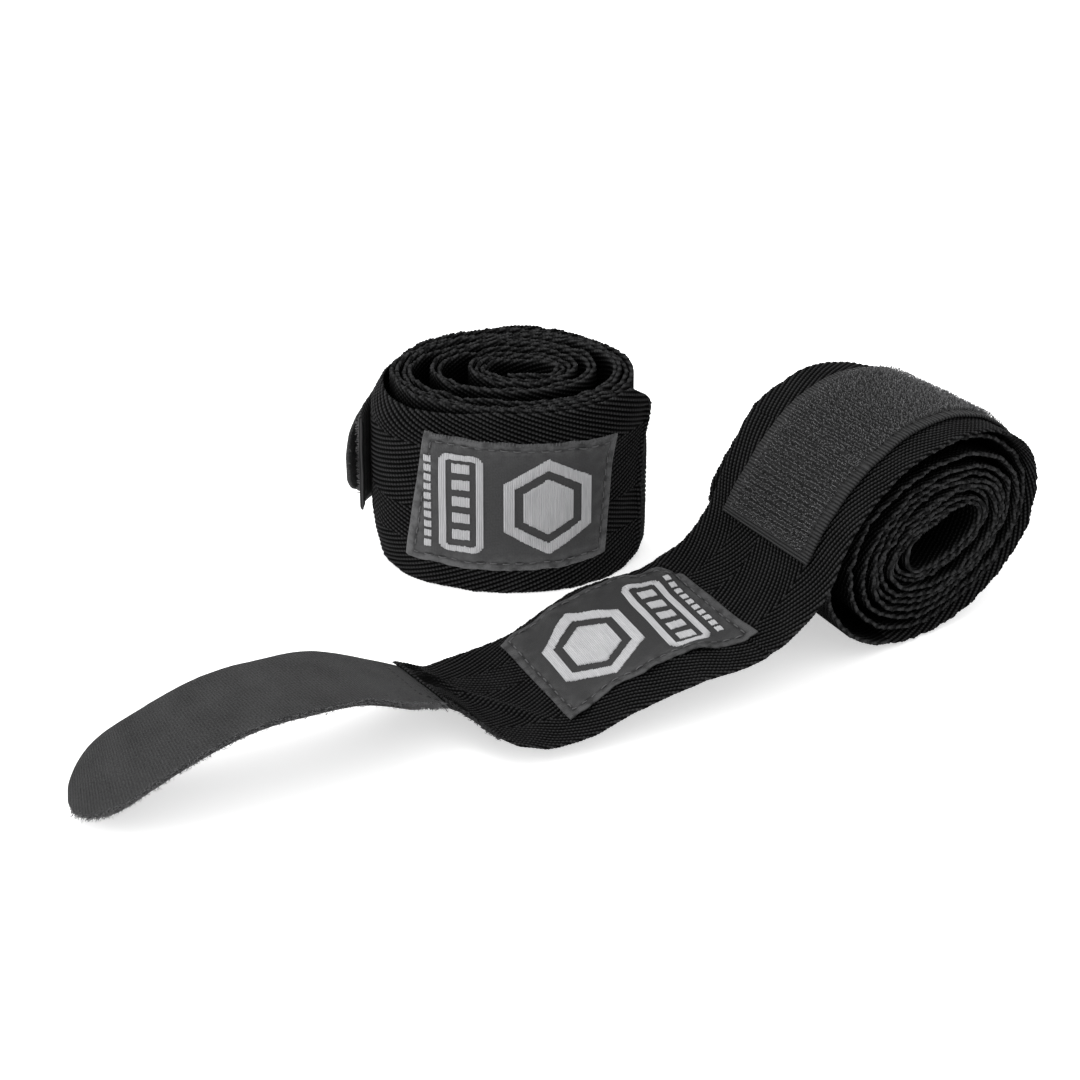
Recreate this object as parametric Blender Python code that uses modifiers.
"""A pair of boxing hand wraps. Wrap A is rolled, closed and stands on edge. Wrap B lies beside it, part unrolled.

Each wrap is one long webbing with a thumb loop at its inner end, and a label, a hook pad and a closure tab at
its outer end. Every flat piece is a strip bent along its wrap's path, so layers that lie on each other stay
parallel. Lengths here are in millimetres and angles in degrees; the scene is in metres, with +Z up.
"""

import math

import bmesh
import bpy
import numpy as np
from mathutils import Matrix, Vector

MM = 0.001

# Widths and thicknesses of the woven pieces.
WEBBING_WIDTH, WEBBING_THICK = 50.0, 1.0
LABEL_WIDTH, LABEL_THICK = 36.0, 0.5
PAD_LENGTH, PAD_WIDTH, PAD_THICK = 85.0, 33.0, 1.2
TAB_WIDTH, TAB_THICK = 35.0, 0.9
PATCH_WIDTH, PATCH_THICK = 29.0, 0.9
THREAD_WIDTH, THREAD_THICK = 0.8, 0.3
LOOP_WIDTH, LOOP_THICK = 26.0, 0.8
LOOP_LENGTH, LOOP_RADIUS = 10.0, 1.0  # of its flattened middle line
LOOP_ACROSS = 8.0  # the loop and its tack are sewn this far to one side of the webbing's middle
TACK_LENGTH, TACK_WIDTH, TACK_THICK = 5.0, 18.0, 0.4
TACK_INSET = 3.0  # from the webbing's inner end
GAP = 0.25  # between layers that touch on the real wrap

# Places along a wrap. Zero is where wrap B's strap meets its roll, minus is towards the tab's tip.
PAD_START = -2.0
LABEL_START, LABEL_END = -73.0, -23.0
SEAM_START, SEAM_END, SEAM_WIDTH = -106.0, -96.0, 34.0
TIP = -192.5
TAB_HINGE = -95.0
FOLD = -13.0  # wrap B's strap lifts here
HINGE_SPLIT = 1.0  # width of the opening at each hinge line
TAPER_LENGTH = 22.0  # the webbing narrows to the tab's width over this
PATCH_START, PATCH_END = -185.0, -108.0
THREAD_INSET = 1.6
LABEL_SHIFT = {"a": -0.8, "b": -3.0}  # each label is sewn a little off the middle

STATION = 5.0  # spacing of the bends along a strap
TURN_STEPS = 36  # bends in one turn of a roll
TIP_STEPS = 6  # bends round the tab's rounded end
LOOP_STEPS = 24
TIP_FLAT = 0.12  # the share of the tab's width left at the very end

# Where the two rolls stand on the table.
ROLL_A_PLACE = (-13.4, 47.9)
ROLL_B_PLACE = (69.4, 28.1, 24.3)
ROLL_B_HEADING, ROLL_B_TILT = 36.0, 3.0
ROLL_B_LEAN = 18.0  # the long axis of its oval, above level
ROLL_B_FLARE = 3.0  # the near end is this much wider than the far end
ROLL_B_DRIFT = (1.5, -2.0)  # the outer turn moves this far along the roll's axis

# Turns of a roll: turn number from outside in, half length, half height, centre across, centre up.
TURNS_A = (
    (-0.778, 39.6, 23.0, 0.0, 0.0),
    (-0.76, 39.2, 24.0, 0.0, 0.0),
    (-0.70, 37.2, 25.0, 0.0, 0.0),
    (-0.64, 35.4, 26.2, 0.0, 0.0),
    (-0.50, 34.6, 26.6, 0.0, 0.0),
    (-0.35, 34.9, 26.0, 0.0, 0.0),
    (-0.25, 34.0, 24.0, 0.0, 0.0),
    (-0.12, 31.4, 21.8, 0.0, 0.0),
    (0.0, 30.1, 21.0, 0.0, 0.0),
    (0.3, 30.0, 20.8, 0.0, 0.0),
    (1.0, 28.6, 19.5, 0.1, -0.1),
    (2.0, 27.2, 18.0, 0.2, -0.2),
    (3.0, 25.7, 16.5, 0.2, -0.2),
    (4.0, 24.3, 15.1, 0.3, -0.1),
    (4.3, 23.9, 14.7, 0.3, 0.0),
    (4.7, 19.8, 12.5, 0.4, 1.2),
    (5.0, 19.3, 12.0, 0.5, 1.3),
    (6.0, 17.8, 10.6, 0.7, 1.2),
    (6.35, 17.3, 10.1, 0.9, 1.1),
    (6.75, 12.9, 8.1, 2.8, 0.8),
    (7.0, 12.5, 7.7, 2.8, 0.8),
    (8.0, 11.0, 6.3, 2.8, 0.7),
    (9.0, 9.6, 4.95, 2.8, 0.65),
    (10.1, 8.05, 3.52, 2.8, 0.6),
)
TURNS_B = (
    (0.0, 31.2, 23.1, 3.7, 0.2),
    (1.0, 29.6, 21.9, 3.7, -0.3),
    (2.0, 24.6, 19.0, 5.5, -1.0),
    (3.0, 21.6, 15.7, 6.0, -1.5),
    (4.0, 19.6, 13.6, 6.3, -1.8),
    (5.0, 17.9, 11.9, 6.6, -2.0),
    (6.0, 16.2, 10.2, 6.8, -2.0),
    (7.0, 14.5, 8.5, 7.0, -1.8),
    (8.0, 12.9, 6.8, 7.0, -1.5),
    (8.7, 11.7, 5.6, 7.0, -1.3),
    (9.7, 10.3, 4.25, 7.0, -1.2),
    (10.27, 9.5, 3.5, 7.0, -1.15),
)
START_ANGLE_A = -87.0  # turn 0 starts here on the oval, at the middle of the label
START_ANGLE_B = 152.0  # and here on roll B, where its strap leaves

# Wrap B's strap from its roll to the tab's tip: distance, heading, tilt to the near side, slope.
STRAP_B = (
    (0, 34, 4, 62),
    (17, 31, 2, 28),
    (32, 29, -1, -8),
    (47, 27, -2, 12),
    (62, 25, 0, 26),
    (78, 24, 4, 3),
    (93, 24, 8, -24),
    (108, 27, 11, -28),
    (124, 27, 11, -18),
    (139, 26, 11, -3),
    (154, 23, 11, 13),
    (169, 17, 8, 26),
    (185, 9, 2, 32),
    (197, 2, -2, 34),
)

COLOURS = {
    "webbing": ((0.012, 0.012, 0.013), 0.85),
    "label": ((0.045, 0.045, 0.047), 0.6),
    "pad": ((0.07, 0.07, 0.072), 0.9),
    "tab": ((0.06, 0.06, 0.062), 0.75),
    "thread": ((0.03, 0.03, 0.031), 0.5),
}


def clear_scene():
    for obj in list(bpy.data.objects):
        bpy.data.objects.remove(obj, do_unlink=True)
    for collection in list(bpy.data.collections):
        bpy.data.collections.remove(collection)


def make_material(name):
    colour, roughness = COLOURS[name]
    material = bpy.data.materials.new(name)
    material.use_nodes = True
    shader = material.node_tree.nodes["Principled BSDF"]
    shader.inputs["Base Color"].default_value = (*colour, 1.0)
    shader.inputs["Roughness"].default_value = roughness
    shader.inputs["Metallic"].default_value = 0.0
    return material


def unit(vectors):
    return vectors / np.linalg.norm(vectors, axis=-1, keepdims=True)


def columns(table):
    return np.array(table, float).T


class Path:
    """A wrap's middle line: distance, point, and the directions along the width and out of the face."""

    def __init__(self, distance, point, width_way, face_way):
        self.distance, self.point = distance, point
        self.width_way, self.face_way = width_way, face_way

    def at(self, distance, values):
        return np.array([np.interp(distance, self.distance, column) for column in values.T]).T

    def stations(self, start, end):
        """The path's own bends between two distances, with both ends."""
        inside = (self.distance > start + 0.5) & (self.distance < end - 0.5)
        return np.concatenate([[start], self.distance[inside], [end]])

    def place(self, distance, across, lift):
        """The point at this distance, this far across the width and this far out of the face."""
        point = self.at(distance, self.point)
        return point + self.at(distance, self.width_way) * across + self.at(distance, self.face_way) * lift


def oval_turns(table, start_angle, lean, first_turn, last_turn):
    """Points across and up on a flattened spiral that winds clockwise, one row for each bend."""
    turns, length, height, across, up = columns(table)
    number = np.arange(math.ceil(first_turn * TURN_STEPS), math.floor(last_turn * TURN_STEPS) + 1) / TURN_STEPS
    number = np.unique(np.concatenate([[first_turn], number, [last_turn]]))
    angle = np.radians(start_angle - 360.0 * number)
    x = np.interp(number, turns, length) * np.cos(angle)
    y = np.interp(number, turns, height) * np.sin(angle)
    cos_lean, sin_lean = math.cos(math.radians(lean)), math.sin(math.radians(lean))
    x, y = x * cos_lean - y * sin_lean, x * sin_lean + y * cos_lean
    return number, np.stack([x + np.interp(number, turns, across), y + np.interp(number, turns, up)], axis=1)


def path_from(points, width_way, zero_at):
    """A path through the points, with distance measured so that the point numbered zero_at is at 0."""
    steps = np.linalg.norm(np.diff(points, axis=0), axis=1)
    distance = np.concatenate([[0.0], np.cumsum(steps)])
    along = unit(np.gradient(points, distance, axis=0))
    face_way = unit(np.cross(width_way, along))
    return Path(distance - distance[zero_at], points, width_way, face_way)


def path_a():
    """Wrap A's path, all of it on the roll: the tab round the back, the label in front, then inwards."""
    first, last = TURNS_A[0][0], TURNS_A[-1][0]
    number, plan = oval_turns(TURNS_A, START_ANGLE_A, 0.0, first, last)
    points = np.column_stack([plan + ROLL_A_PLACE, np.full(len(plan), WEBBING_WIDTH / 2)])
    upright = np.tile([0.0, 0.0, 1.0], (len(points), 1))
    path = path_from(points, upright, int(np.abs(number).argmin()))
    path.distance += (LABEL_START + LABEL_END) / 2
    return path


def frame_of(heading, tilt):
    """Level direction of travel, the width direction towards the near side, and the direction out of the face."""
    heading, tilt = np.radians(heading), np.radians(tilt)
    zero = np.zeros_like(heading)
    level = np.stack([np.cos(heading), np.sin(heading), zero], axis=-1)
    side = np.stack([np.sin(heading), -np.cos(heading), zero], axis=-1)
    above = np.array([0.0, 0.0, 1.0])
    cos_tilt, sin_tilt = np.cos(tilt)[..., None], np.sin(tilt)[..., None]
    return level, side * cos_tilt + above * sin_tilt, above * cos_tilt - side * sin_tilt


def roll_b_points():
    """Points and width directions of wrap B's roll, from where its strap leaves to the inner end."""
    level, near, above = frame_of(np.array(ROLL_B_HEADING), np.array(ROLL_B_TILT))
    number, oval = oval_turns(TURNS_B, START_ANGLE_B, ROLL_B_LEAN, TURNS_B[0][0], TURNS_B[-1][0])
    drift = np.interp(number, [0.0, 1.0], ROLL_B_DRIFT)
    points = oval[:, :1] * level + oval[:, 1:] * above + drift[:, None] * near + ROLL_B_PLACE
    along = unit(np.gradient(points, axis=0))
    outwards = unit(np.cross(near, along))
    flare = math.radians(ROLL_B_FLARE)
    return points, unit(near * math.cos(flare) + outwards * math.sin(flare))


def strap_b_points(start, step=1.0):
    """Points and width directions of wrap B's strap, walked from the roll out to the tip."""
    table = columns(STRAP_B)
    length = table[0][-1]
    distance = np.linspace(0.0, length, int(length / step) + 1)
    heading, tilt, slope = (np.interp(distance, table[0], row) for row in table[1:])
    level, near, above = frame_of(heading, tilt)
    slope = np.radians(slope)[:, None]
    along = level * np.cos(slope) + above * np.sin(slope)
    moves = (along[1:] + along[:-1]) / 2 * np.diff(distance)[:, None]
    points = start - np.concatenate([np.zeros((1, 3)), np.cumsum(moves, axis=0)])
    kept = np.unique(np.append(np.arange(0, len(distance), int(STATION / step)), len(distance) - 1))
    return points[kept], near[kept]


def path_b():
    """Wrap B's path: its strap from the tip to the roll, then inwards."""
    roll, roll_width = roll_b_points()
    strap, strap_width = strap_b_points(roll[0])
    points = np.concatenate([strap[:0:-1], roll])
    return path_from(points, np.concatenate([strap_width[:0:-1], roll_width]), len(strap) - 1)


def strip(name, path, stations, rows, lift, thick, ring=False):
    """A flat piece bent along a path: each row says how far across its line lies at every station.

    A ring keeps only the outermost cells of the grid, which makes the outline of a rectangle.
    """
    last, top = len(stations) - 1, len(rows) - 1
    lines = [path.place(stations, np.broadcast_to(row, stations.shape)[:, None], lift) for row in rows]
    bm = bmesh.new()
    bmesh.ops.create_grid(bm, x_segments=last, y_segments=top, size=0.5)
    if ring:
        middles = [(face, (face.calc_center_median().x + 0.5) * last, (face.calc_center_median().y + 0.5) * top)
                   for face in bm.faces]
        inner = [face for face, x, y in middles if 1 < x < last - 1 and 1 < y < top - 1]
        bmesh.ops.delete(bm, geom=inner, context="FACES")
    for vert in bm.verts:
        column, row = round((vert.co.x + 0.5) * last), round((vert.co.y + 0.5) * top)
        vert.co = lines[row][column] * MM
    bmesh.ops.recalc_face_normals(bm, faces=bm.faces)
    return thickened(name, bm, thick)


def thickened(name, bm, thick):
    mesh = bpy.data.meshes.new(name)
    bm.to_mesh(mesh)
    bm.free()
    obj = bpy.data.objects.new(name, mesh)
    solid = obj.modifiers.new("thickness", "SOLIDIFY")
    solid.thickness = thick * MM
    solid.offset = 0.0
    return obj


def band(name, path, start, end, width, lift, thick, shift=0.0):
    """A strip of one width."""
    edges = (shift - width / 2, shift + width / 2)
    return strip(name, path, path.stations(start, end), edges, lift, thick)


def stitching(name, path, start, end, width, lift, shift=0.0):
    """A rectangle of thread lying on a piece, THREAD_INSET inside that piece's edges."""
    start, end, half = start + THREAD_INSET, end - THREAD_INSET, width / 2 - THREAD_INSET
    stations = path.stations(start + THREAD_WIDTH, end - THREAD_WIDTH)
    stations = np.concatenate([[start], stations, [end]])
    edges = (shift - half, shift - half + THREAD_WIDTH, shift + half - THREAD_WIDTH, shift + half)
    return strip(name, path, stations, edges, lift, THREAD_THICK, ring=True)


def webbing(name, path, start, end):
    """The long woven strip, narrowed to the tab's width where it reaches the tab's hinge."""
    stations = path.stations(start, end)
    half = np.interp(
        stations, [TAB_HINGE, TAB_HINGE + TAPER_LENGTH], [TAB_WIDTH / 2, WEBBING_WIDTH / 2]
    )
    return strip(name, path, stations, (-half, half), 0.0, WEBBING_THICK)


def closure_tab(name, path):
    """The tab from its hinge to its rounded tip."""
    radius = TAB_WIDTH / 2
    turn = np.radians(np.linspace(90.0, 90.0 * TIP_FLAT, TIP_STEPS))
    rounded = TIP + radius * (1.0 - np.cos(turn))
    straight = path.stations(rounded[0], TAB_HINGE - HINGE_SPLIT / 2)
    half = np.concatenate([radius * np.sin(turn[::-1]), np.full(len(straight) - 1, radius)])
    stations = np.concatenate([rounded[::-1], straight[1:]])
    return strip(name, path, stations, (-half, half), 0.0, TAB_THICK)


def label_and_pad(path, wrap):
    """The printed label and the hook pad on the webbing's outer face, each with its border of thread."""
    label_lift = WEBBING_THICK / 2 + GAP + LABEL_THICK / 2
    pad_lift = WEBBING_THICK / 2 + GAP + PAD_THICK / 2
    above_label = label_lift + LABEL_THICK / 2 + GAP + THREAD_THICK / 2
    above_pad = pad_lift + PAD_THICK / 2 + GAP + THREAD_THICK / 2
    shift, pad_end = LABEL_SHIFT[wrap], PAD_START + PAD_LENGTH
    label_at, pad_at = (path, LABEL_START, LABEL_END, LABEL_WIDTH), (path, PAD_START, pad_end, PAD_WIDTH)
    return {
        "label": band(f"label_{wrap}", *label_at, label_lift, LABEL_THICK, shift),
        "label_stitching": stitching(f"label_stitching_{wrap}", *label_at, above_label, shift),
        "pad": band(f"hook_pad_{wrap}", *pad_at, pad_lift, PAD_THICK),
        "pad_stitching": stitching(f"pad_stitching_{wrap}", *pad_at, above_pad),
    }


def tab_pieces(path, wrap):
    """The closure tab, the loop patch on its inner face, and the threads that show on its outer face."""
    patch_lift = -(TAB_THICK / 2 + GAP + PATCH_THICK / 2)
    above = TAB_THICK / 2 + GAP + THREAD_THICK / 2
    patch_at = (path, PATCH_START, PATCH_END, PATCH_WIDTH)
    return [
        closure_tab(f"closure_tab_{wrap}", path),
        band(f"loop_patch_{wrap}", *patch_at, patch_lift, PATCH_THICK),
        stitching(f"patch_stitching_{wrap}", *patch_at, above),
        stitching(f"tab_seam_stitching_{wrap}", path, SEAM_START, SEAM_END, SEAM_WIDTH, above),
    ]


def thumb_loop(path, wrap):
    """The flattened loop in the middle of the roll and the bar tack that holds it to the webbing's inner end."""
    end = path.distance[-1]
    tack_lift = -(WEBBING_THICK / 2 + GAP + TACK_THICK / 2)
    tack_at = (path, end - TACK_INSET - TACK_LENGTH, end - TACK_INSET, TACK_WIDTH)
    tack = band(f"thumb_bar_tack_{wrap}", *tack_at, tack_lift, TACK_THICK, LOOP_ACROSS)
    middle = np.array([end - TACK_INSET - TACK_LENGTH / 2])
    centre = path.place(middle, LOOP_ACROSS, tack_lift - TACK_THICK / 2 - GAP - LOOP_THICK / 2 - LOOP_RADIUS)[0]
    wide, out = path.at(middle, path.width_way)[0], path.at(middle, path.face_way)[0]
    along = np.cross(out, wide)
    bm = bmesh.new()
    bmesh.ops.create_cone(bm, segments=LOOP_STEPS, radius1=1.0, radius2=1.0, depth=LOOP_WIDTH)
    for vert in bm.verts:
        x, y, z = vert.co
        flat = np.sign(round(x, 3)) * (LOOP_LENGTH / 2 - LOOP_RADIUS)
        vert.co = (centre + along * (x * LOOP_RADIUS + flat) + out * y * LOOP_RADIUS + wide * z) * MM
    bmesh.ops.recalc_face_normals(bm, faces=bm.faces)
    return thickened(f"thumb_loop_{wrap}", bm, LOOP_THICK), tack


def hinge_point(path, distance):
    """A hinge line lies in the webbing's outer face, so the flap folds up without pressing into it."""
    return path.place(np.array([distance]), 0.0, WEBBING_THICK / 2)[0]


def add_pivot(collection, name, point, parent=None):
    """An empty on a joint's axis. It has no turn of its own."""
    pivot = bpy.data.objects.new(name, None)
    pivot.empty_display_size = 0.01
    pivot.parent = parent
    world = Vector(point * MM)
    pivot.location = world - Vector(parent["at"]) if parent else world
    pivot["at"] = world
    collection.objects.link(pivot)
    return pivot


def add_piece(collection, obj, material, pivot=None):
    obj.data.materials.append(material)
    if pivot:
        obj.parent = pivot
        obj.matrix_parent_inverse = Matrix.Translation(-Vector(pivot["at"]))
    collection.objects.link(obj)


def main():
    clear_scene()
    collection = bpy.data.collections.new("boxing_hand_wraps")
    bpy.context.scene.collection.children.link(collection)
    materials = {name: make_material(name) for name in COLOURS}

    wrap_a, wrap_b = path_a(), path_b()
    tab_a = add_pivot(collection, "tab_a_hinge", hinge_point(wrap_a, TAB_HINGE))
    slide_b = add_pivot(collection, "wrap_b_slide", np.array(ROLL_B_PLACE))
    strap_b = add_pivot(collection, "strap_b_hinge", hinge_point(wrap_b, FOLD), slide_b)
    tab_b = add_pivot(collection, "tab_b_hinge", hinge_point(wrap_b, TAB_HINGE), strap_b)

    half_split = HINGE_SPLIT / 2
    strap_end, roll_start = TAB_HINGE + half_split, FOLD + half_split
    add_piece(collection, webbing("webbing_a", wrap_a, strap_end, wrap_a.distance[-1]), materials["webbing"])
    roll_b = webbing("webbing_b", wrap_b, roll_start, wrap_b.distance[-1])
    add_piece(collection, roll_b, materials["webbing"], slide_b)
    strap = webbing("strap_webbing_b", wrap_b, strap_end, FOLD - half_split)
    add_piece(collection, strap, materials["webbing"], strap_b)

    for wrap, path, label_pivot, pad_pivot, tab_pivot in (
        ("a", wrap_a, None, None, tab_a),
        ("b", wrap_b, strap_b, slide_b, tab_b),
    ):
        pieces = label_and_pad(path, wrap)
        add_piece(collection, pieces["label"], materials["label"], label_pivot)
        add_piece(collection, pieces["label_stitching"], materials["thread"], label_pivot)
        add_piece(collection, pieces["pad"], materials["pad"], pad_pivot)
        add_piece(collection, pieces["pad_stitching"], materials["thread"], pad_pivot)
        tab, patch, *threads = tab_pieces(path, wrap)
        add_piece(collection, tab, materials["tab"], tab_pivot)
        add_piece(collection, patch, materials["pad"], tab_pivot)
        for thread in threads:
            add_piece(collection, thread, materials["thread"], tab_pivot)
        loop, tack = thumb_loop(path, wrap)
        add_piece(collection, loop, materials["webbing"], pad_pivot)
        add_piece(collection, tack, materials["thread"], pad_pivot)


main()
